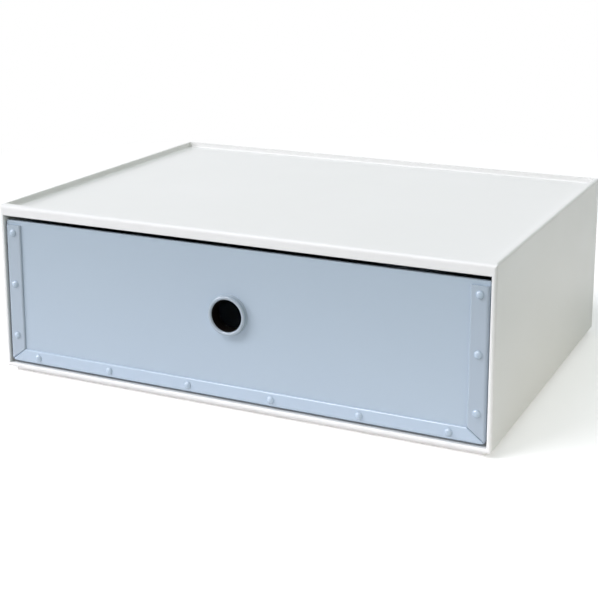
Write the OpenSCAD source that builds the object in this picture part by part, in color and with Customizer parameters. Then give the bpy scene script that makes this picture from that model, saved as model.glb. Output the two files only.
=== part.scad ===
// Stackable drawer box: a moulded case whose foot ring nests in the rim of the case below,
// and a tray drawer with a riveted front and a round finger pull.
// Millimetres. X runs across the front, the drawer opens towards -Y, Z is up.

/* [Case] */
// Width of the case
case_w = 370; // [280:5:460]
// Depth of the case, from its front face to its rear edge
case_d = 272; // [210:2:340]
// Height of the case, from the foot to the top of the rim
case_h = 126; // [100:1:180]
// Thickness of the side walls and of the rim
wall_t = 3.4; // [2.8:0.1:4.6]
// Thickness of the bars above and below the drawer
front_bar_t = 4; // [3.8:0.1:6]
// Depth of the deck below the top of the rim
rim_h = 4.2; // [3.2:0.1:8]
// Thickness of the deck
deck_t = 2.6; // [2.4:0.1:4]
// How far the top bar hangs below the deck to catch the drawer's stop tabs
catch_drop = 1.4; // [1:0.1:3]
// Height of the bar below the drawer
sill_h = 3.3; // [3:0.1:8]
// Thickness of the floor
floor_t = 2.4; // [2:0.1:3]
// Rounding along the top of the front bar
front_round = 3.2; // [1.5:0.1:3.6]
// Rounding of the upright corners and of the lower edges
case_round = 2; // [0.8:0.1:2.6]
// Rounding of the top edges at the sides and the rear
rim_round = 1.6; // [0.3:0.1:2.4]
// Rounding of the inner edges of the mouth
mouth_round = 0.8; // [0.3:0.1:1.4]
// Fillet between the deck and the rim
deck_fillet = 1.6; // [0.6:0.1:3]

/* [Foot] */
// Height of the foot ring below the walls
foot_h = 3.5; // [2:0.1:4.2]
// Clearance between the foot ring and the rim that it nests in
stack_gap = 0.5; // [0.3:0.1:1]
// Inward taper of the foot ring, as a lead-in
foot_taper = 1; // [0.5:0.1:2.5]
// Thickness of the foot ring at its bottom
foot_t = 2.6; // [1.8:0.1:4]
// Radius of the foot ring's upright corners
foot_corner = 5; // [2:0.5:10]
// Thickness of the ribs under the floor
rib_t = 1.8; // [1.2:0.1:3]
// Height of the ribs under the floor
rib_h = 1.2; // [0.8:0.1:1.8]
// Ribs that run from front to back
ribs_long = 5; // [2:1:8]
// Ribs that run from side to side
ribs_cross = 3; // [1:1:6]

/* [Guides] */
// Clearance between sliding faces
run_gap = 0.3; // [0.3:0.05:0.6]
// Width of the runner beads on the floor
runner_w = 4; // [3:0.5:8]
// Distance between the runner beads
runner_span = 240; // [140:10:260]
// Distance from the front face to the start of the beads and guides
guide_start = 16; // [13:1:30]
// Clearance between the side guides and the tray's rim
guide_gap = 0.5; // [0.4:0.1:1]
// Height of each side guide
guide_h = 3; // [2:0.5:6]
// Height of the lower side guide above the floor
guide_low = 22; // [12:1:30]
// Depth of the upper side guide below the tray's rim bead
guide_high = 12; // [6:1:24]

/* [Rear panel] */
// Thickness of the rear panel
back_t = 2.6; // [2.2:0.1:4]
// Width of the ledge that the rear panel rests against
ledge_w = 1.6; // [1.2:0.1:2.4]
// Thickness of that ledge
ledge_t = 1.6; // [1.2:0.1:3]
// Clearance round the rear panel
back_fit = 0.15; // [0.1:0.05:0.4]
// Length of each snap barb
barb_l = 14; // [8:1:24]
// Reach of each snap barb
barb_out = 0.9; // [0.6:0.1:1.2]
// Plain margin of the panel's edge in front of and behind each barb
barb_margin = 0.3; // [0.2:0.05:0.4]
// Distance between the barbs along the top and the bottom
barb_span_x = 220; // [120:10:250]
// Distance between the barbs up each side
barb_span_z = 52; // [30:2:56]
// Width of the plain margin round the rear panel's field
back_margin = 12; // [8:1:24]
// Depth of the rear panel's field
back_field = 0.8; // [0.4:0.1:1]

/* [Drawer front] */
// Gap between the drawer front and the side walls
gap_side = 1; // [0.8:0.1:2]
// Gap between the drawer front and the top bar
gap_top = 3.4; // [2:0.1:4]
// Gap between the drawer front and the sill
gap_bottom = 1.4; // [1:0.1:3]
// Distance of the edge strips behind the case's front face
recess = 0.9; // [0.5:0.1:4]
// Thickness of the front panel
panel_t = 2.4; // [1.8:0.1:4]
// Thickness of the flange behind the panel that rests on the tray's rim
flange_t = 2.2; // [1.6:0.1:3]
// How far that flange reaches past the tray's front wall
flange_over = 1; // [0.5:0.1:2]

/* [Edge strips] */
// Thickness of the edge strips
strip_t = 1.5; // [1:0.1:1.7]
// Face width of the strips at the sides
strip_side_w = 12.4; // [10:0.2:16]
// Face width of the strip along the bottom
strip_bottom_w = 10.2; // [9.4:0.2:14]
// Radius of the lower corners
strip_corner = 3.5; // [3.2:0.1:6]
// Outer radius of the bend round the drawer's edge
bend_r = 2.3; // [1.9:0.1:3]
// Depth of the leg that wraps round the drawer's side
strip_leg = 8; // [6:0.5:10]
// Rounding of the strips' inner edges
strip_edge = 1.3; // [0.3:0.1:1.4]
// Distance from the top of the panel to the top of the side strips
strip_drop = 3.2; // [3:0.1:8]
// Width of the groove at each mitre
mitre_gap = 0.3; // [0.1:0.05:0.6]
// Chamfer along each side of that groove
mitre_edge = 0.6; // [0.2:0.1:1]

/* [Rivets] */
// Diameter of a rivet's head
head_d = 5.4; // [3.8:0.1:5.8]
// Height of a rivet's head
head_h = 1.8; // [0.9:0.1:2]
// Diameter of a rivet's shank
shank_d = 2.2; // [1.8:0.1:2.6]
// Diameter of a rivet's set tail
tail_d = 3; // [2.7:0.1:3.4]
// Height of a rivet's set tail
tail_h = 0.8; // [0.5:0.1:1.2]
// Rivets in the bottom strip
rivet_count = 6; // [2:1:8]
// Distance of the bottom strip's end rivets from the drawer's sides
rivet_end = 24.1; // [20:0.1:60]
// How much closer the bottom strip's end rivets stand to their neighbours than the rest
rivet_end_closer = 3; // [0:0.5:8]
// Rivets in each side strip
side_rivet_count = 3; // [2:1:4]
// Height of the lowest side rivet above the drawer's lower edge
side_rivet_low = 20.5; // [17:0.1:24]
// Distance of the highest side rivet below the top of its strip
side_rivet_high = 5.7; // [5:0.1:24]

/* [Finger pull] */
// Diameter of the finger hole
hole_d = 22; // [18:0.5:26]
// Width of the pull's lip
lip_w = 2.3; // [2.2:0.1:3.4]
// How far the pull stands out of the panel
pull_reach = 4; // [3.4:0.1:8]
// Height of the pull's centre above the middle of the drawer front
pull_rise = 6.6; // [-20:0.1:20]
// Rounding of the lip's outer edge
lip_round = 1.3; // [0.4:0.1:1.3]
// Rounding of the lip's inner edge
lip_inner_round = 0.8; // [0.3:0.1:0.9]
// Depth of the lip in front of the sleeve
lip_depth = 1.2; // [1:0.1:2]
// Width of the sleeve's front end that shows inside the lip
lip_step = 0.6; // [0.3:0.1:1]
// Thickness of the sleeve through the panel
sleeve_t = 1.9; // [1.5:0.1:2]
// Rounding of the sleeve's two ends
sleeve_round = 0.4; // [0.2:0.1:0.6]
// How far the pull's base flange stands beyond the lip
base_over = 0.4; // [0.3:0.1:1.5]
// Thickness of the base flange
base_t = 0.9; // [0.6:0.1:1.5]
// Width of the collar behind the tray wall
collar_w = 3; // [2:0.2:5]
// Thickness of the collar
collar_t = 2.2; // [1.6:0.1:3.5]
// Rounding of the collar's edge
collar_round = 0.8; // [0.2:0.1:1.2]

/* [Tray] */
// Thickness of the tray's walls and base
tray_t = 2; // [1.6:0.1:2.6]
// Distance of the tray's rim below the top of the drawer front
rim_drop = 6.4; // [3.4:0.1:7]
// Draft of the tray's sides from rim to base
tray_draft = 0.8; // [0.2:0.1:1.6]
// Radius of the tray's rear corners
tray_corner = 6; // [4:0.5:12]
// Radius of the tray's front corners at the rim, outside
tray_front_out = 1; // [0.5:0.1:2]
// Radius of the tray's front corners at the rim, inside
tray_front_in = 3; // [1.5:0.5:4]
// Fillet round the tray's inner floor
tray_fillet = 4; // [2.4:0.2:4]
// Thickness of the bead round the tray's rim
bead_w = 1; // [0.6:0.1:1.2]
// Height of the bead round the tray's rim
bead_h = 2; // [1.5:0.1:4]
// Distance from the tray's rear to the stop tabs that catch behind the top bar
tab_back = 51.2; // [30:0.2:90]
// Length of each stop tab
tab_l = 16; // [10:1:24]

/* [Hidden] */
$fn = 64;
hull_fn = 32;
// Small overlap where one solid is built from two forms
lap = 0.5;
// Thickness of the slices that a hull starts or ends with
slice = 1;
// Clearance of parts that are pressed or riveted together
seat_fit = 0.05;

// Levels, from the foot's bottom
floor_z = foot_h + sill_h;
floor_under = floor_z - floor_t;
deck_z = case_h - rim_h;
deck_under = deck_z - deck_t;
mouth_z = deck_under - catch_drop;
front_z0 = floor_z + gap_bottom;
front_z1 = mouth_z - gap_top;
strip_z1 = front_z1 - strip_drop;
base_z = front_z0 + strip_t;
rim_z = front_z1 - rim_drop;

// Widths either side of the middle
case_x = case_w / 2;
inner_x = case_x - wall_t;
front_x = inner_x - gap_side;
panel_x = front_x - strip_t;
bead_x = panel_x + bead_w;
guide_x = panel_x + guide_gap;

// Depths behind the case's front face
panel_y = recess + strip_t;
tray_y0 = panel_y + panel_t;
ledge_y = case_d - back_t - ledge_t;
bead_y = ledge_y - run_gap;
tray_y1 = bead_y - bead_w;
tab_y = tray_y1 - tab_back - tab_l;

// The pull, about its own axis
hole_r = hole_d / 2;
lip_in = hole_r + lip_step;
lip_r = lip_in + lip_w;
sleeve_r = hole_r + sleeve_t;
socket_r = sleeve_r + seat_fit;
pull_y = panel_y - pull_reach;
lip_y = pull_y + lip_depth;
wall_y = tray_y0 + tray_t;
pull_at = (front_z0 + front_z1) / 2 + pull_rise;

// The foot ring
foot_in = wall_t + stack_gap;
foot_in_front = front_bar_t + stack_gap;
under_in = foot_in + foot_taper + foot_t;
under_in_front = foot_in_front + foot_taper + foot_t;

// Centres and spacing of the rivets
side_rivet_x = front_x - strip_side_w / 2;
bottom_rivet_z = front_z0 + strip_bottom_w / 2;
rivet_pitch = 2 * (front_x - rivet_end + rivet_end_closer) / (rivet_count - 1);
side_rivet_pitch = (strip_z1 - side_rivet_high - front_z0 - side_rivet_low) / (side_rivet_count - 1);

// The whole box stands centred on the origin, with the pull as its foremost point
front_y = (max(0, -pull_y) - case_d) / 2;

// ---- Profiles and placing ----

// Carries shapes from the case's front face to the shared origin
module placed() {
    translate([0, front_y, 0]) children();
}

// Extrudes a Y-Z profile along X
module along_x(x0, x1) {
    translate([x0, 0, 0]) rotate([90, 0, 90]) linear_extrude(x1 - x0) children();
}

// Extrudes an X-Z profile along Y
module along_y(y0, y1) {
    translate([0, y1, 0]) rotate([90, 0, 0]) linear_extrude(y1 - y0) children();
}

// Extrudes an X-Y profile along Z
module along_z(z0, z1) {
    translate([0, 0, z0]) linear_extrude(z1 - z0) children();
}

module both_sides() {
    children();
    mirror([1, 0, 0]) children();
}

// A block between two corners
module block(lo, hi) {
    translate(lo) cube(hi - lo);
}

// A rectangle with its own radius at each corner: low left, low right, high right, high left
module rounded(lo, hi, r) {
    polygon([[lo.x + r[0], lo.y], [hi.x - r[1], lo.y], [hi.x, lo.y + r[1]], [hi.x, hi.y - r[2]],
             [hi.x - r[2], hi.y], [lo.x + r[3], hi.y], [lo.x, hi.y - r[3]], [lo.x, lo.y + r[0]]]);
    if (r[0] > 0) translate([lo.x + r[0], lo.y + r[0]]) circle(r[0]);
    if (r[1] > 0) translate([hi.x - r[1], lo.y + r[1]]) circle(r[1]);
    if (r[2] > 0) translate([hi.x - r[2], hi.y - r[2]]) circle(r[2]);
    if (r[3] > 0) translate([lo.x + r[3], hi.y - r[3]]) circle(r[3]);
}

// The concave corner between two walls, with its corner at the origin
module fillet(r) {
    difference() {
        translate([-lap, -lap]) square(r + lap);
        translate([r, r]) circle(r);
    }
}

// A ball whose faces reach its full radius on every axis
module ball(r, fn) {
    rotate_extrude($fn = fn) intersection() {
        circle(r, $fn = fn);
        translate([0, -r]) square(2 * r);
    }
}

// A hole or pin on an axis that runs front to back
module round_y(x, z, r, y0, y1) {
    translate([x, y0, z]) rotate([-90, 0, 0]) cylinder(r = r, h = y1 - y0);
}

// Turns a profile of radius and depth about the pull's axis
module about_pull() {
    translate([0, 0, pull_at]) rotate([-90, 0, 0]) rotate_extrude() children();
}

// ---- Case ----

// The outer form of the case above its foot ring
module case_form() {
    intersection() {
        along_x(-case_x, case_x)
            rounded([0, foot_h], [case_d, case_h], [case_round, case_round, rim_round, front_round]);
        along_y(0, case_d)
            rounded([-case_x, foot_h], [case_x, case_h], [case_round, case_round, rim_round, rim_round]);
        along_z(foot_h, case_h)
            rounded([-case_x, 0], [case_x, case_d], [case_round, case_round, case_round, case_round]);
    }
}

module case_walls() {
    both_sides()
        along_z(foot_h, case_h) rounded([inner_x, 0], [case_x, case_d], [mouth_round, 0, 0, 0]);
    // Top bar, deck and rear rim
    along_x(-case_x, case_x) {
        rounded([0, mouth_z], [front_bar_t, case_h], [mouth_round, 0, 0, 0]);
        translate([case_d - wall_t, deck_under]) square([wall_t, rim_h + deck_t]);
    }
    block([-inner_x - lap, front_bar_t / 2, deck_under], [inner_x + lap, case_d - wall_t / 2, deck_z]);
    // Sill, floor and the shoulder above the foot ring
    along_x(-case_x, case_x)
        rounded([0, foot_h], [front_bar_t, floor_z], [0, 0, 0, mouth_round]);
    block([-inner_x - lap, front_bar_t / 2, floor_under], [inner_x + lap, case_d, floor_z]);
    difference() {
        block([-case_x, front_bar_t / 2, foot_h], [case_x, case_d, floor_under + lap]);
        under_space(foot_h - 1);
    }
}

// The space inside the foot ring, up to the floor
module under_space(z0) {
    block([-case_x + under_in, under_in_front, z0], [case_x - under_in, case_d - under_in, floor_under]);
}

module deck_fillets() {
    along_x(-inner_x - lap, inner_x + lap) {
        translate([front_bar_t, deck_z]) fillet(deck_fillet);
        translate([case_d - wall_t, deck_z]) mirror([1, 0]) fillet(deck_fillet);
    }
    both_sides()
        along_y(front_bar_t - lap, case_d - wall_t + lap)
            translate([inner_x, deck_z]) mirror([1, 0]) fillet(deck_fillet);
}

// One tapered outline of the foot ring, across a width from lo to hi
module foot_outline(lo, hi) {
    polygon([[lo + foot_taper, 0], [hi - foot_taper, 0], [hi, foot_h], [hi, foot_h + lap],
             [lo, foot_h + lap], [lo, foot_h]]);
}

module foot_ring() {
    difference() {
        intersection() {
            along_x(-case_x, case_x) foot_outline(foot_in_front, case_d - foot_in);
            along_y(0, case_d) foot_outline(foot_in - case_x, case_x - foot_in);
            along_z(0, foot_h + lap)
                rounded([foot_in - case_x, foot_in_front], [case_x - foot_in, case_d - foot_in],
                        [foot_corner, foot_corner, foot_corner, foot_corner]);
        }
        under_space(-1);
    }
}

// Evenly spaced place number i of n between lo and hi
function between(i, n, lo, hi) = lo + (i + 1) * (hi - lo) / (n + 1);

module under_ribs() {
    side = case_x - under_in;
    for (i = [0 : ribs_long - 1])
        translate([between(i, ribs_long, -side, side), 0, 0])
            block([-rib_t / 2, under_in_front - lap, floor_under - rib_h],
                  [rib_t / 2, case_d - under_in + lap, floor_under + lap]);
    for (i = [0 : ribs_cross - 1])
        translate([0, between(i, ribs_cross, under_in_front, case_d - under_in), 0])
            block([-side - lap, -rib_t / 2, floor_under - rib_h],
                  [side + lap, rib_t / 2, floor_under + lap]);
}

// A bead that rises to height h, with a sloped front end
module bead_outline(y0, y1, z0, h) {
    polygon([[y0, z0 - lap], [y1, z0 - lap], [y1, z0 + h], [y0 + 2 * h, z0 + h], [y0, z0]]);
}

module runners() {
    both_sides()
        along_x((runner_span - runner_w) / 2, (runner_span + runner_w) / 2)
            bead_outline(guide_start, ledge_y - ledge_t, floor_z, base_z - run_gap - floor_z);
}

module side_guide(z) {
    reach = inner_x - guide_x;
    along_z(z, z + guide_h)
        polygon([[inner_x + lap, guide_start], [inner_x, guide_start],
                 [guide_x, guide_start + 2 * reach], [guide_x, ledge_y - ledge_t],
                 [inner_x + lap, ledge_y - ledge_t]]);
}

// The ledge inside the rear of the case
module back_ledge() {
    along_y(ledge_y, ledge_y + ledge_t)
        difference() {
            translate([-inner_x - lap, floor_z - lap])
                square([2 * (inner_x + lap), deck_under - floor_z + 2 * lap]);
            translate([-inner_x + ledge_w, floor_z + ledge_w])
                square([2 * (inner_x - ledge_w), deck_under - floor_z - 2 * ledge_w]);
        }
}

// Places its child on each of the rear panel's edges, with +Y outwards and Z towards the rear
module at_barbs(grow) {
    mid_y = case_d - back_t / 2;
    mid_z = (floor_z + deck_under) / 2;
    half_z = (deck_under - floor_z) / 2;
    both_sides() {
        for (turn = [0, 180])
            translate([barb_span_x / 2, mid_y, mid_z]) rotate([0, turn, 0])
                translate([0, 0, half_z - grow]) rotate([90, 0, 0]) mirror([0, 0, 1]) children();
        for (side = [-1, 1])
            translate([inner_x - grow, mid_y, mid_z + side * barb_span_z / 2])
                rotate([0, 90, 0]) rotate([90, 0, 0]) mirror([0, 0, 1]) children();
    }
}

module barb() {
    rear = back_t / 2 - barb_margin;
    rotate([90, 0, 90]) translate([0, 0, -barb_l / 2]) linear_extrude(barb_l)
        polygon([[-lap, -rear], [0, -rear], [barb_out, rear - 2 * barb_margin],
                 [barb_out, rear - barb_margin], [0, rear], [-lap, rear]]);
}

module barb_pocket() {
    depth = barb_out + seat_fit - back_fit + run_gap / 2;
    translate([-barb_l / 2 - run_gap, -lap, -back_t / 2 + seat_fit])
        cube([barb_l + 2 * run_gap, depth + lap, back_t - barb_margin]);
}

module carcass_shell() {
    color("whitesmoke") placed() {
        difference() {
            union() {
                intersection() {
                    case_form();
                    case_walls();
                }
                deck_fillets();
                runners();
                both_sides() {
                    side_guide(floor_z + guide_low);
                    side_guide(rim_z - bead_h - guide_high);
                }
                back_ledge();
                foot_ring();
                under_ribs();
            }
            at_barbs(0) barb_pocket();
        }
    }
}

module carcass_back() {
    x = inner_x - back_fit;
    z0 = floor_z + back_fit;
    z1 = deck_under - back_fit;
    color("whitesmoke") placed() {
        difference() {
            block([-x, case_d - back_t, z0], [x, case_d, z1]);
            along_y(case_d - back_field, case_d + 1)
                rounded([back_margin - x, z0 + back_margin], [x - back_margin, z1 - back_margin],
                        [back_margin / 2, back_margin / 2, back_margin / 2, back_margin / 2]);
        }
        at_barbs(back_fit) barb();
    }
}

// ---- Drawer ----

// The tray's lower edges are rounded to sit in the strips' corners
tray_edge = strip_corner - strip_t;

// The corners of the tray's rim for a hull, with their own radii at the front and the rear
module rim_corners(x, y0, y1, r_front, r_rear) {
    both_sides() {
        translate([x - r_front, y0 + r_front, rim_z - slice])
            cylinder(r = r_front, h = slice, $fn = hull_fn);
        translate([x - r_rear, y1 - r_rear, rim_z - slice])
            cylinder(r = r_rear, h = slice, $fn = hull_fn);
    }
}

module tray_outside() {
    x = panel_x - tray_draft;
    y = tray_y1 - tray_draft;
    hull() {
        both_sides() {
            translate([x - tray_edge, tray_y0, base_z + tray_edge])
                rotate([-90, 0, 0]) cylinder(r = tray_edge, h = slice, $fn = hull_fn);
            translate([x - tray_corner, y - tray_corner, base_z + tray_edge])
                rotate_extrude($fn = hull_fn)
                    translate([tray_corner - tray_edge, 0]) intersection() {
                        circle(tray_edge);
                        translate([0, -tray_edge]) square(2 * tray_edge);
                    }
        }
        rim_corners(panel_x, tray_y0, tray_y1, tray_front_out, tray_corner);
    }
}

module tray_inside() {
    x = panel_x - tray_draft - tray_t - tray_fillet;
    y = tray_y1 - tray_draft - tray_t - tray_fillet;
    hull() {
        both_sides()
            for (centre_y = [wall_y + tray_fillet, y])
                translate([x, centre_y, base_z + tray_t + tray_fillet]) ball(tray_fillet, hull_fn);
        translate([0, 0, slice])
            rim_corners(panel_x - tray_t, wall_y, tray_y1 - tray_t, tray_front_in, tray_corner - tray_t);
    }
}

// The thickened edge round the tray's rim, behind the strips' legs
module rim_bead() {
    start = recess + strip_leg + run_gap;
    r = tray_corner + bead_w;
    along_z(rim_z - bead_h, rim_z)
        difference() {
            rounded([-bead_x, start], [bead_x, bead_y], [0, 0, r, r]);
            rounded([-panel_x + tray_t / 2, start - 1], [panel_x - tray_t / 2, tray_y1 - tray_t / 2],
                    [0, 0, r - bead_w - tray_t / 2, r - bead_w - tray_t / 2]);
        }
}

// The tabs on the side walls that catch behind the top bar
module stop_tabs() {
    top = deck_under - run_gap;
    both_sides()
        along_x(panel_x - tray_t, panel_x)
            polygon([[tab_y, rim_z - lap], [tab_y, top], [tab_y + tab_l / 4, top],
                     [tab_y + tab_l, rim_z - lap]]);
}

module side_rivet_places() {
    for (i = [0 : side_rivet_count - 1])
        translate([0, 0, front_z0 + side_rivet_low + i * side_rivet_pitch]) children();
}

// Distance of bottom rivet number i from the middle, with the end ones moved inwards
function bottom_rivet_x(i) =
    let (x = (i - (rivet_count - 1) / 2) * rivet_pitch,
         end = i == 0 || i == rivet_count - 1)
    x - (end ? sign(x) * rivet_end_closer : 0);

module bottom_rivet_places() {
    for (i = [0 : rivet_count - 1])
        translate([bottom_rivet_x(i), 0, 0]) children();
}

// The holes for all rivets, of radius r from y0 to y1
module rivet_holes(r, y0, y1) {
    both_sides() side_rivet_places() round_y(side_rivet_x, 0, r, y0, y1);
    bottom_rivet_places() round_y(0, bottom_rivet_z, r, y0, y1);
}

module drawer_tray() {
    shank = shank_d / 2 + seat_fit;
    color("lightsteelblue") placed() {
        difference() {
            union() {
                difference() {
                    tray_outside();
                    tray_inside();
                }
                rim_bead();
                stop_tabs();
            }
            rivet_holes(shank, tray_y0 - 1, wall_y + 1);
            // Flat seats for the rivets' tails where the corners are filleted
            rivet_holes(tail_d / 2 + seat_fit, wall_y, wall_y + tray_fillet);
            round_y(0, pull_at, socket_r, tray_y0 - 1, wall_y + 1);
        }
    }
}

// A plate across X and Z, its front arris rounded, with larger radii at its lower corners
module rolled_plate(x, z0, z1, t, edge, corner) {
    along_y(edge, t)
        rounded([-x, z0], [x, z1], [corner, corner, edge, edge]);
    along_y(0, edge + lap)
        rounded([edge - x, z0 + edge], [x - edge, z1 - edge], [corner - edge, corner - edge, 0, 0]);
    both_sides() {
        translate([x - edge, edge, z0 + corner]) cylinder(r = edge, h = z1 - edge - z0 - corner);
        translate([x - edge, edge, z1 - edge]) sphere(r = edge);
        translate([x - corner, edge, z0 + corner]) rotate([-90, 0, 0])
            rotate_extrude(angle = 90)
                intersection() {
                    translate([corner - edge, 0]) circle(edge);
                    translate([0, -edge]) square([corner, 2 * edge]);
                }
    }
    for (z = [z0 + edge, z1 - edge])
        translate([corner - x, edge, z]) rotate([0, 90, 0]) cylinder(r = edge, h = 2 * (x - corner));
    both_sides()
        translate([x - corner, edge, z1 - edge]) rotate([0, 90, 0]) cylinder(r = edge, h = corner - edge);
}

module drawer_front() {
    edge = bend_r - strip_t;
    shank = shank_d / 2 + seat_fit;
    color("lightsteelblue") placed() {
        difference() {
            union() {
                translate([0, panel_y, 0]) {
                    rolled_plate(panel_x, base_z, front_z1, panel_t, edge, strip_corner - strip_t);
                    // The shoulders above the side strips, as wide as the strips' legs
                    intersection() {
                        rolled_plate(front_x, base_z, front_z1, panel_t, edge, strip_corner - strip_t);
                        block([-case_x, -1, strip_z1 + seat_fit], [case_x, panel_t + 1, case_h]);
                    }
                }
                // The flange that rests on the rim of the tray's front wall
                block([edge - panel_x, panel_y + panel_t / 2, rim_z],
                      [panel_x - edge, wall_y + flange_over, rim_z + flange_t]);
            }
            rivet_holes(shank, recess, tray_y0 + 1);
            round_y(0, pull_at, socket_r, panel_y - 1, tray_y0 + 1);
        }
    }
}

// ---- Edge strips ----

mitre_turn = atan2(strip_bottom_w - strip_corner, strip_side_w - strip_corner);

// The form that the strips share: a face, a bend and a leg round the edge of the drawer front
module edge_form() {
    above = front_z1 + strip_corner;
    difference() {
        translate([0, recess, 0])
            rolled_plate(front_x, front_z0, above, strip_leg, bend_r, strip_corner);
        translate([0, panel_y, 0])
            rolled_plate(panel_x, base_z, above + strip_corner, strip_leg, bend_r - strip_t,
                         strip_corner - strip_t);
    }
}

// What is cut away beyond a strip's inner edge: X runs outwards from that edge, Y back from the face
module inner_edge_cut() {
    translate([-2 * front_x, -1]) square([2 * front_x, strip_leg + 2]);
    difference() {
        translate([-1, -1]) square([strip_edge + 1, strip_edge + 1]);
        translate([strip_edge, strip_edge]) circle(strip_edge);
    }
}

// The space beyond the mitre at the lower left corner, on its upper side (1) or its lower side (-1)
module mitre_side(side) {
    gap = mitre_gap / 2;
    far = 4 * front_x;
    deep = recess + strip_leg + 1;
    translate([strip_corner - front_x, 0, front_z0 + strip_corner])
        rotate([0, -mitre_turn, 0])
            along_x(-2 * strip_side_w, far)
                polygon([[recess - 1, -side * (gap + mitre_edge + 1)],
                         [recess + mitre_edge, -side * gap],
                         [deep, -side * gap], [deep, side * far], [recess - 1, side * far]]);
}

module side_strip() {
    difference() {
        edge_form();
        along_z(0, case_h)
            translate([strip_side_w - front_x, recess]) mirror([1, 0]) inner_edge_cut();
        mitre_side(-1);
        block([-case_x, 0, strip_z1], [case_x, case_d, case_h]);
        side_rivet_places() round_y(-side_rivet_x, 0, shank_d / 2 + seat_fit, 0, panel_y + 1);
    }
}

module strip_left() {
    color("lightsteelblue") placed() side_strip();
}

module strip_right() {
    color("lightsteelblue") placed() mirror([1, 0, 0]) side_strip();
}

module strip_bottom() {
    color("lightsteelblue") placed() {
        difference() {
            edge_form();
            along_x(-case_x, case_x)
                translate([recess, front_z0 + strip_bottom_w]) rotate(-90) inner_edge_cut();
            both_sides() mitre_side(1);
            bottom_rivet_places() round_y(0, bottom_rivet_z, shank_d / 2 + seat_fit, 0, panel_y + 1);
        }
    }
}

// ---- Rivets ----

// A domed rivet with its head on the strip and its tail set inside the tray
module rivet() {
    head_r = head_d / 2;
    ball_r = (head_r * head_r + head_h * head_h) / (2 * head_h);
    grip = wall_y - recess;
    translate([0, recess, 0]) rotate([-90, 0, 0]) {
        intersection() {
            translate([0, 0, ball_r - head_h]) sphere(r = ball_r);
            translate([0, 0, -head_h - 1]) cylinder(r = head_r, h = head_h + 1);
        }
        cylinder(d = shank_d, h = grip + tail_h / 2);
        translate([0, 0, grip]) cylinder(d = tail_d, h = tail_h);
    }
}

module rivets_left() {
    color("lightsteelblue") placed() translate([-side_rivet_x, 0, 0]) side_rivet_places() rivet();
}

module rivets_right() {
    color("lightsteelblue") placed() translate([side_rivet_x, 0, 0]) side_rivet_places() rivet();
}

module rivets_bottom() {
    color("lightsteelblue") placed() translate([0, 0, bottom_rivet_z]) bottom_rivet_places() rivet();
}

// ---- Finger pull ----

// The eyelet: a rolled lip on a base flange, with a socket behind it for the collar's sleeve
module finger_ring() {
    color("silver") placed()
        difference() {
            about_pull() {
                rounded([lip_in, pull_y], [lip_r, panel_y], [lip_inner_round, lip_round, 0, 0]);
                rounded([lip_in, panel_y - base_t], [lip_r + base_over, panel_y], [0, base_t / 2, 0, 0]);
            }
            round_y(0, pull_at, socket_r, lip_y, panel_y + 1);
        }
}

// The collar that holds the eyelet: its sleeve passes through the tray wall and the panel
module ring_collar() {
    color("dimgray") placed() about_pull() {
        rounded([hole_r, lip_y + seat_fit], [sleeve_r, wall_y + collar_t],
                [sleeve_round, 0, 0, sleeve_round]);
        rounded([sleeve_r - lap, wall_y], [sleeve_r + collar_w, wall_y + collar_t],
                [0, 0, collar_round, 0]);
    }
}

carcass_shell();
carcass_back();
drawer_tray();
drawer_front();
strip_left();
strip_bottom();
strip_right();
rivets_left();
rivets_bottom();
rivets_right();
finger_ring();
ring_collar();
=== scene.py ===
"""Studio scene of the stackable drawer box: finishes, rivets, floor, light and camera."""

import math

import bpy
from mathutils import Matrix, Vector


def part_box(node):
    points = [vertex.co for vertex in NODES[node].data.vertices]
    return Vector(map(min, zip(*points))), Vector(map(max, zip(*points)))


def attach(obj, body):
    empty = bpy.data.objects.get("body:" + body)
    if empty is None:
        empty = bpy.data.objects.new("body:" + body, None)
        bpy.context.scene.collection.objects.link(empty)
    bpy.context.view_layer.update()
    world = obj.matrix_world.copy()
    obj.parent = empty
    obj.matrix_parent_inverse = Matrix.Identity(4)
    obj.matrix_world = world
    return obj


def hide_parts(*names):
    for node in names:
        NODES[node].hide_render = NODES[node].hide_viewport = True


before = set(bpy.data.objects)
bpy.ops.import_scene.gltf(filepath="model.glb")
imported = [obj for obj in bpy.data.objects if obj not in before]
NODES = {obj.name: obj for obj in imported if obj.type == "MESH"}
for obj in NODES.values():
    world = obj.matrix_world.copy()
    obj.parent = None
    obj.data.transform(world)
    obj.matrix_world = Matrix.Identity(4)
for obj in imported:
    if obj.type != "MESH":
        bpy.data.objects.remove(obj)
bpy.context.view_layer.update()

MM = 0.001


def srgb(code):
    """Turns an sRGB hex colour into linear red, green and blue, with a full alpha."""
    parts = [int(code[i : i + 2], 16) / 255 for i in (1, 3, 5)]
    linear = [c / 12.92 if c <= 0.04045 else ((c + 0.055) / 1.055) ** 2.4 for c in parts]
    return (*linear, 1.0)


# ---- Node helper ----


def add(tree, kind, links=None, **settings):
    """Adds a node to a tree, sets it up and links its inputs.
    A setting is a property of the node, or one of its input sockets where it starts with in_."""
    node = tree.nodes.new(kind)
    for key, value in settings.items():
        if not key.startswith("in_"):
            setattr(node, key, value)
    for key, value in settings.items():
        if key.startswith("in_"):
            name = key[3:]
            socket = node.inputs[int(name) if name.isdigit() else name.replace("_", " ")]
            socket.default_value = value
    for name, source in (links or {}).items():
        tree.links.new(source, node.inputs[name])
    return node


# ---- Finishes ----

# The spacing of the tint's drift, of the sheen's wander and of the sink in the walls
DRIFT_SPACING = 90 * MM
HAZE_SPACING = 22 * MM
SINK_SPACING = 45 * MM
# Between these two levels of its noise the sheen goes from glossiest to dullest
HAZE_LOW, HAZE_HIGH = 0.3, 0.7
# Polypropylene's; that of ABS is a little higher
PLASTIC_IOR = 1.49


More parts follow.
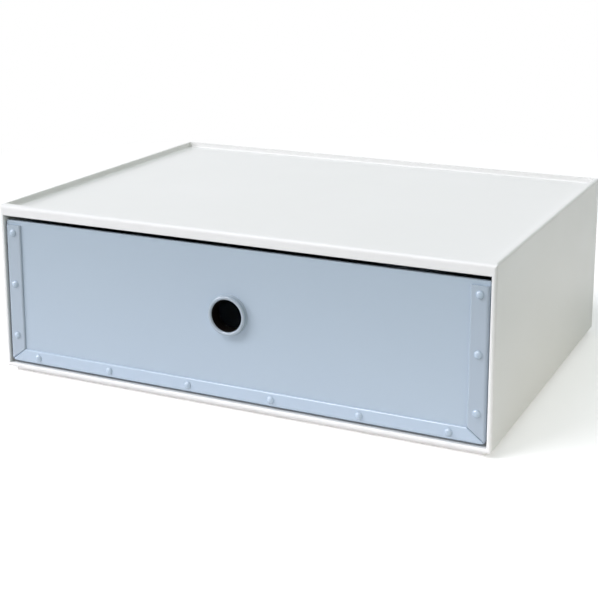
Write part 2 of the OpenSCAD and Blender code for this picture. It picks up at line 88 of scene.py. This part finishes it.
def moulded_plastic(name, light, dark, gloss, grain_mm, grain_depth_mm, sink_mm=0.0, shine=0.5):
    """Injection-moulded plastic: two close tints that drift over the piece as they do round a gate,
    a sheen that wanders slightly, the fine grain of the mould steel and the sink of thick walls.
    gloss is the lowest and highest roughness, and shine how strongly the surface mirrors.
    The grain has a spacing and a depth, the sink a depth alone."""
    mat = bpy.data.materials.new(name)
    mat.use_nodes = True
    tree = mat.node_tree
    tree.nodes.clear()
    place = add(tree, "ShaderNodeTexCoord").outputs["Object"]
    drift = add(tree, "ShaderNodeTexNoise", {"Vector": place}, in_Scale=1 / DRIFT_SPACING,
                in_Detail=2.0, in_Roughness=0.45)
    tint = add(tree, "ShaderNodeMix", {"Factor": drift.outputs["Fac"]}, data_type="RGBA")
    tint.inputs["A"].default_value = srgb(dark)
    tint.inputs["B"].default_value = srgb(light)
    haze = add(tree, "ShaderNodeTexNoise", {"Vector": place}, in_Scale=1 / HAZE_SPACING,
               in_Detail=3.0)
    rough = add(tree, "ShaderNodeMapRange", {"Value": haze.outputs["Fac"]}, in_From_Min=HAZE_LOW,
                in_From_Max=HAZE_HIGH, in_To_Min=gloss[0], in_To_Max=gloss[1])
    grain = add(tree, "ShaderNodeTexNoise", {"Vector": place}, in_Scale=1 / (grain_mm * MM),
                in_Detail=2.0, in_Roughness=0.6)
    # Long, shallow waves: the slight sink and flow that bend a reflection in a moulded wall
    wave = add(tree, "ShaderNodeTexNoise", {"Vector": place}, in_Scale=1 / SINK_SPACING,
               in_Detail=0.0)
    sink = add(tree, "ShaderNodeBump", {"Height": wave.outputs["Fac"]}, in_Strength=1.0,
               in_Distance=sink_mm * MM)
    relief = add(tree, "ShaderNodeBump",
                 {"Height": grain.outputs["Fac"], "Normal": sink.outputs["Normal"]},
                 in_Strength=1.0, in_Distance=grain_depth_mm * MM)
    shader = add(tree, "ShaderNodeBsdfPrincipled",
                 {"Base Color": tint.outputs["Result"], "Roughness": rough.outputs["Result"],
                  "Normal": relief.outputs["Normal"]},
                 in_IOR=PLASTIC_IOR, in_Specular_IOR_Level=shine)
    add(tree, "ShaderNodeOutputMaterial", {"Surface": shader.outputs["BSDF"]})
    return mat


# White ABS from a polished mould: a smooth, even body colour under a soft gloss
white_abs = moulded_plastic("moulded_white_abs", "#f1f1ef", "#eeeeeb", (0.28, 0.36),
                            grain_mm=1.6, grain_depth_mm=0.006, sink_mm=0.04)
# Pale blue polypropylene with a spark-eroded finish: low sheen, very fine grain
blue_pp = moulded_plastic("grained_blue_polypropylene", "#b0bfcb", "#acbbc8", (0.42, 0.5),
                          grain_mm=0.7, grain_depth_mm=0.012, sink_mm=0.05)
# The same plastic from a polished mould, on the bottom strip and the rivets: a crisp light line
# along the strip's upper edge and a small highlight on each rivet
blue_trim = moulded_plastic("satin_blue_polypropylene", "#b2c3d2", "#aebfcf", (0.16, 0.22),
                            grain_mm=1.2, grain_depth_mm=0.004, shine=0.9)
# The side strips are the same plastic as the bottom strip, with painted shade: a deeper tint, as
# they are lit less than the bottom strip
shaded_side_trim = moulded_plastic("shaded_satin_blue_polypropylene", "#a6b4c0", "#a2b0bd", (0.16, 0.22),
                            grain_mm=1.2, grain_depth_mm=0.004, shine=0.9)
# The pull's own ABS, greyer than the panel and polished: its lip catches the light all round
pull_abs = moulded_plastic("satin_grey_blue_abs", "#a6b3bd", "#a2afba", (0.14, 0.18),
                           grain_mm=1.6, grain_depth_mm=0.004, shine=0.8)
# Dull black ABS on the collar and its sleeve, partly painted shade: its near-black brown also
# stands for the shaded inside of the drawer, so the finger hole reads as a dark opening
collar_black_and_hole_shade = moulded_plastic("black_abs_and_hole_shade", "#0c0805", "#0a0604", (0.55, 0.65),
                               grain_mm=0.8, grain_depth_mm=0.015, shine=0.15)

FINISH = {
    "carcass_shell": white_abs,
    "carcass_back": white_abs,
    "drawer_tray": blue_pp,
    "drawer_front": blue_pp,
    # The side strips take the trim's copy with painted shade
    "strip_left": shaded_side_trim,
    "strip_bottom": blue_trim,
    "strip_right": shaded_side_trim,
    "rivets_left": blue_trim,
    "rivets_bottom": blue_trim,
    "rivets_right": blue_trim,
    "finger_ring": pull_abs,
    # The collar's black is partly painted shade for the dark inside of the finger hole
    "ring_collar": collar_black_and_hole_shade,
}
for node_name, finish in FINISH.items():
    slots = NODES[node_name].data.materials
    slots.clear()
    slots.append(finish)


# ---- Rivets ----

SIDE_RIVETS, BOTTOM_RIVETS = 3, 6
HEAD_D, HEAD_H = 5.4 * MM, 1.8 * MM
SHANK_D = 2.2 * MM
TAIL_D, TAIL_H = 3.0 * MM, 0.8 * MM
# How much closer the bottom row's end rivets stand to their neighbours than the rest
END_CLOSER = 3.0 * MM
# At 0.5 a dome is half an ellipsoid; more softens its rim, less flattens its crown
HEAD_STEEPNESS, TAIL_STEEPNESS = 0.6, 0.4
DOME_SEGMENTS, DOME_RINGS = 32, 24
SHANK_SIDES = 24
# A point of the ball that lies higher than this counts as above its middle
ABOVE_MIDDLE = 1e-7


def rivet_tree():
    """Sets one domed rivet, with its shank and its set tail, on every point of the incoming mesh.
    The rivet's axis runs along Y, its head towards -Y and its seat on the point."""
    tree = bpy.data.node_groups.new("domed_rivets", "GeometryNodeTree")
    face = tree.interface
    face.new_socket("Places", in_out="INPUT", socket_type="NodeSocketGeometry")
    for label in ("Head Diameter", "Head Height", "Shank Diameter", "Grip", "Tail Diameter",
                  "Tail Height"):
        face.new_socket(label, in_out="INPUT", socket_type="NodeSocketFloat")
    face.new_socket("Finish", in_out="INPUT", socket_type="NodeSocketMaterial")
    face.new_socket("Rivets", in_out="OUTPUT", socket_type="NodeSocketGeometry")
    given = add(tree, "NodeGroupInput").outputs

    def half(socket):
        return add(tree, "ShaderNodeMath", {0: socket}, operation="MULTIPLY", in_1=0.5).outputs[0]

    def dome(diameter, height, steepness):
        """A closed cap on the plane Z = 0: a ball whose lower half is pressed flat. With r as 1 at
        its edge, it stands (1 - r * r) ** steepness of its height over the plane."""
        ball = add(tree, "GeometryNodeMeshUVSphere", {"Radius": half(diameter)},
                   in_Segments=DOME_SEGMENTS, in_Rings=DOME_RINGS)
        where = add(tree, "GeometryNodeInputPosition").outputs[0]
        part = add(tree, "ShaderNodeSeparateXYZ", {0: where}).outputs
        flat = add(tree, "ShaderNodeCombineXYZ", {0: part[0], 1: part[1]}).outputs[0]
        reach = add(tree, "ShaderNodeVectorMath", {0: flat}, operation="LENGTH").outputs["Value"]
        share = add(tree, "ShaderNodeMath", {0: reach, 1: half(diameter)},
                    operation="DIVIDE").outputs[0]
        square = add(tree, "ShaderNodeMath", {0: share, 1: share}, operation="MULTIPLY").outputs[0]
        left = add(tree, "ShaderNodeMath", {1: square}, operation="SUBTRACT", in_0=1.0,
                   use_clamp=True).outputs[0]
        rise = add(tree, "ShaderNodeMath", {0: left}, operation="POWER",
                   in_1=steepness).outputs[0]
        above = add(tree, "ShaderNodeMath", {0: part[2]}, operation="GREATER_THAN",
                    in_1=ABOVE_MIDDLE).outputs[0]
        kept = add(tree, "ShaderNodeMath", {0: rise, 1: above}, operation="MULTIPLY").outputs[0]
        level = add(tree, "ShaderNodeMath", {0: kept, 1: height}, operation="MULTIPLY").outputs[0]
        place = add(tree, "ShaderNodeCombineXYZ", {0: part[0], 1: part[1], 2: level}).outputs[0]
        return add(tree, "GeometryNodeSetPosition",
                   {"Geometry": ball.outputs["Mesh"], "Position": place}).outputs[0]

    def turned(geometry, angle, offset=None):
        """Turns a part of the rivet about X, then moves it along Y by the offset."""
        shift = add(tree, "ShaderNodeCombineXYZ", {1: offset} if offset else {}).outputs[0]
        return add(tree, "GeometryNodeTransform", {"Geometry": geometry, "Translation": shift},
                   in_Rotation=(angle, 0, 0)).outputs[0]

    head = dome(given["Head Diameter"], given["Head Height"], HEAD_STEEPNESS)
    head = turned(head, math.pi / 2)
    tail = dome(given["Tail Diameter"], given["Tail Height"], TAIL_STEEPNESS)
    tail = turned(tail, -math.pi / 2, given["Grip"])
    shank = add(tree, "GeometryNodeMeshCylinder",
                {"Radius": half(given["Shank Diameter"]), "Depth": given["Grip"]},
                in_Vertices=SHANK_SIDES)
    shank = turned(shank.outputs["Mesh"], math.pi / 2, half(given["Grip"]))
    rivet = add(tree, "GeometryNodeJoinGeometry")
    for piece in (head, tail, shank):
        tree.links.new(piece, rivet.inputs[0])
    smooth = add(tree, "GeometryNodeSetShadeSmooth", {"Geometry": rivet.outputs[0]})
    row = add(tree, "GeometryNodeInstanceOnPoints",
              {"Points": given["Places"], "Instance": smooth.outputs[0]})
    real = add(tree, "GeometryNodeRealizeInstances", {"Geometry": row.outputs[0]})
    painted = add(tree, "GeometryNodeSetMaterial",
                  {"Geometry": real.outputs[0], "Material": given["Finish"]})
    add(tree, "NodeGroupOutput", {"Rivets": painted.outputs[0]})
    return tree


def row_of_places(node_name, count, closer):
    """The seats of a straight row of rivets, from the box of the CAD node that holds them.
    The row is even but for its end rivets, which stand closer to their neighbours."""
    lo, hi = (Vector(v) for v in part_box(node_name))
    seat = lo.y + HEAD_H
    start = Vector((lo.x + HEAD_D / 2, seat, lo.z + HEAD_D / 2))
    end = Vector((hi.x - HEAD_D / 2, seat, hi.z - HEAD_D / 2))
    extra = (end - start).normalized() * closer
    inner = [(start - extra).lerp(end + extra, i / (count - 1)) for i in range(1, count - 1)]
    return [start, *inner, end]


def make_rivets():
    """The drawer's rivets: soft domes on the strips, with their tails set inside the tray."""
    rows = {"rivets_left": (SIDE_RIVETS, 0.0), "rivets_bottom": (BOTTOM_RIVETS, END_CLOSER),
            "rivets_right": (SIDE_RIVETS, 0.0)}
    places = [place for name, row in rows.items() for place in row_of_places(name, *row)]
    seeds = bpy.data.meshes.new("rivet_places")
    seeds.from_pydata(places, [], [])
    source = bpy.data.objects.new("rivet_places", seeds)
    bpy.context.scene.collection.objects.link(source)
    lo, hi = (Vector(v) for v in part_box("rivets_bottom"))
    sizes = {"Head Diameter": HEAD_D, "Head Height": HEAD_H, "Shank Diameter": SHANK_D,
             "Grip": hi.y - lo.y - HEAD_H - TAIL_H, "Tail Diameter": TAIL_D,
             "Tail Height": TAIL_H, "Finish": blue_trim}
    tree = rivet_tree()
    work = source.modifiers.new("domed_rivets", "NODES")
    work.node_group = tree
    for item in tree.interface.items_tree:
        if item.in_out == "INPUT" and item.name in sizes:
            work[item.identifier] = sizes[item.name]
    bpy.context.view_layer.update()
    done = source.evaluated_get(bpy.context.evaluated_depsgraph_get())
    mesh = bpy.data.meshes.new_from_object(done)
    source.modifiers.remove(work)
    bpy.data.objects.remove(source)
    mesh.name = "drawer_rivets"
    piece = bpy.data.objects.new("drawer_rivets", mesh)
    bpy.context.scene.collection.objects.link(piece)
    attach(piece, "drawer")
    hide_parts(*rows)


make_rivets()


# ---- Floor and light ----

WHITE = (1, 1, 1, 1)
FLOOR_HALF = 6.0
# How far from the middle the shadowed paper starts to fade, and where it is plain white
FADE_FROM, FADE_TO = 0.45, 0.9
# How much the shown paper is lifted, so that it is white where no shadow falls
PAPER_LIFT = 0.36
# A lamp with a narrower spread than this is gridded and doesn't show in reflections
GRIDDED_SPREAD = 90.0


def shown_rays(tree):
    """1 for what the camera, a reflection or a refraction sees, 0 for the light on things."""
    path = add(tree, "ShaderNodeLightPath").outputs
    gloss = add(tree, "ShaderNodeMath", {0: path["Is Camera Ray"], 1: path["Is Glossy Ray"]},
                operation="MAXIMUM")
    return add(tree, "ShaderNodeMath", {0: gloss.outputs[0], 1: path["Is Transmission Ray"]},
               operation="MAXIMUM").outputs[0]


def studio_floor():
    """A wide white floor that shows the camera a white ground with the box's soft shadow on it.
    The light that bounces off it comes from a slightly greyer ground, which keeps the relief of
    the box."""
    corners = [(x * FLOOR_HALF, y * FLOOR_HALF, 0) for x, y in ((-1, -1), (1, -1), (1, 1), (-1, 1))]
    mesh = bpy.data.meshes.new("studio_floor")
    mesh.from_pydata(corners, [], [(0, 1, 2, 3)])
    floor = bpy.data.objects.new("studio_floor", mesh)
    bpy.context.scene.collection.objects.link(floor)
    # Matt background paper: no sheen, and it fades to plain white away from the box
    mat = bpy.data.materials.new("white_paper_ground")
    mat.use_nodes = True
    tree = mat.node_tree
    tree.nodes.clear()
    place = add(tree, "ShaderNodeTexCoord").outputs["Object"]
    away = add(tree, "ShaderNodeVectorMath", {0: place}, operation="LENGTH")
    fade = add(tree, "ShaderNodeMapRange", {"Value": away.outputs["Value"]},
               in_From_Min=FADE_FROM, in_From_Max=FADE_TO)
    paper = add(tree, "ShaderNodeBsdfDiffuse", in_Color=srgb("#f2f1ef"))
    lift = add(tree, "ShaderNodeEmission", in_Color=WHITE, in_Strength=PAPER_LIFT)
    lifted = add(tree, "ShaderNodeAddShader", {0: paper.outputs[0], 1: lift.outputs[0]})
    white = add(tree, "ShaderNodeEmission", in_Color=WHITE, in_Strength=1.0)
    seen = add(tree, "ShaderNodeMixShader",
               {0: fade.outputs["Result"], 1: lifted.outputs[0], 2: white.outputs[0]})
    ground = add(tree, "ShaderNodeBsdfDiffuse", in_Color=srgb("#e4e4e2"))
    shown = add(tree, "ShaderNodeMixShader",
                {0: shown_rays(tree), 1: ground.outputs[0], 2: seen.outputs[0]})
    add(tree, "ShaderNodeOutputMaterial", {"Surface": shown.outputs[0]})
    mesh.materials.append(mat)


def studio_world(colour, strength):
    """An even surround that lights the box; the camera and reflections see plain white."""
    world = bpy.data.worlds.new("studio_world")
    bpy.context.scene.world = world
    world.use_nodes = True
    tree = world.node_tree
    tree.nodes.clear()
    soft = add(tree, "ShaderNodeBackground", in_Color=srgb(colour), in_Strength=strength)
    white = add(tree, "ShaderNodeBackground", in_Color=WHITE, in_Strength=1.0)
    both = add(tree, "ShaderNodeMixShader",
               {0: shown_rays(tree), 1: soft.outputs[0], 2: white.outputs[0]})
    add(tree, "ShaderNodeOutputWorld", {"Surface": both.outputs[0]})


def soft_box(name, place, aim, size, watts, colour, spread=180.0):
    """A studio lamp of the given width and height that faces a point of the box.
    A small spread, in degrees, is a grid on the lamp that keeps its light in a beam, and hides
    the lamp itself from reflections."""
    lamp = bpy.data.lights.new(name, "AREA")
    lamp.shape = "RECTANGLE"
    lamp.size, lamp.size_y = size
    lamp.spread = math.radians(spread)
    lamp.energy = watts
    lamp.color = srgb(colour)[:3]
    obj = bpy.data.objects.new(name, lamp)
    obj.location = place
    obj.rotation_euler = (Vector(aim) - Vector(place)).to_track_quat("-Z", "Y").to_euler()
    obj.visible_glossy = spread > GRIDDED_SPREAD
    bpy.context.scene.collection.objects.link(obj)


# What the lamps face: the middle of the box, and the ground below its drawer and its right side
MIDDLE = (0, 0, 0.06)
DRAWER_FOOT = (-0.05, -0.2, -0.03)
SIDE_FOOT = (0.185, -0.02, -0.03)
# The narrow beam of the gridded strips, in degrees
BEAM = 14.0

studio_floor()
studio_world("#f7fffc", 0.184)
soft_box("key_lamp", (-4.01, -2.11, 2.11), MIDDLE, (1.6, 1.6), 100.0, "#f9f8ff")
soft_box("high_front_lamp", (-1.57, -2.24, 3.58), MIDDLE, (1.8, 1.8), 102.0, "#f9f8ff")
soft_box("overhead_lamp", (0.19, 0.97, 3.88), MIDDLE, (2.6, 2.6), 8.0, "#b8ecff")
soft_box("side_lamp", (3.63, -1.27, 1.09), MIDDLE, (2.0, 2.0), 6.6, "#f4ffca")
soft_box("rear_lamp", (0.45, 2.6, 2.85), MIDDLE, (2.0, 2.0), 32.0, "#fcfffe")
# Low gridded strips that lighten the lower half of the drawer and of the right side
soft_box("low_front_strip", (-0.25, -1.7, 0.16), DRAWER_FOOT, (1.6, 0.12), 0.35, "#fdf6ff", BEAM)
soft_box("low_side_strip", (1.5, -0.6, 0.12), SIDE_FOOT, (0.25, 0.12), 0.04, "#fff5e9", BEAM)


# ---- Camera ----

# Width and height of the image in pixels, and width of the sensor in millimetres
IMAGE, SENSOR = 598, 36.0
# Where the camera stands, from the middle of the box and from its front, and how it is turned
FRONT_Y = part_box("carcass_shell")[0][1]
EYE = Vector((400.22 * MM, FRONT_Y - 732.61 * MM, 341.54 * MM))
TURN, DOWN = math.radians(25.333), math.radians(12.239)
FOCAL_PX = 1306.51
# The image's row at which the camera looks straight ahead
CENTRE_ROW = 180

cam_data = bpy.data.cameras.new("camera")
cam_data.sensor_width = SENSOR
cam_data.lens = FOCAL_PX * SENSOR / IMAGE
cam_data.shift_y = (CENTRE_ROW - IMAGE / 2) / IMAGE
cam_data.clip_start, cam_data.clip_end = 0.05, 50
camera = bpy.data.objects.new("camera", cam_data)
camera.location = EYE
back = Vector((math.sin(TURN) * math.cos(DOWN), -math.cos(TURN) * math.cos(DOWN), math.sin(DOWN)))
camera.rotation_mode = "QUATERNION"
camera.rotation_quaternion = (-back).to_track_quat("-Z", "Y")
bpy.context.scene.collection.objects.link(camera)
bpy.context.scene.camera = camera

bpy.context.scene.view_settings.view_transform = "Standard"
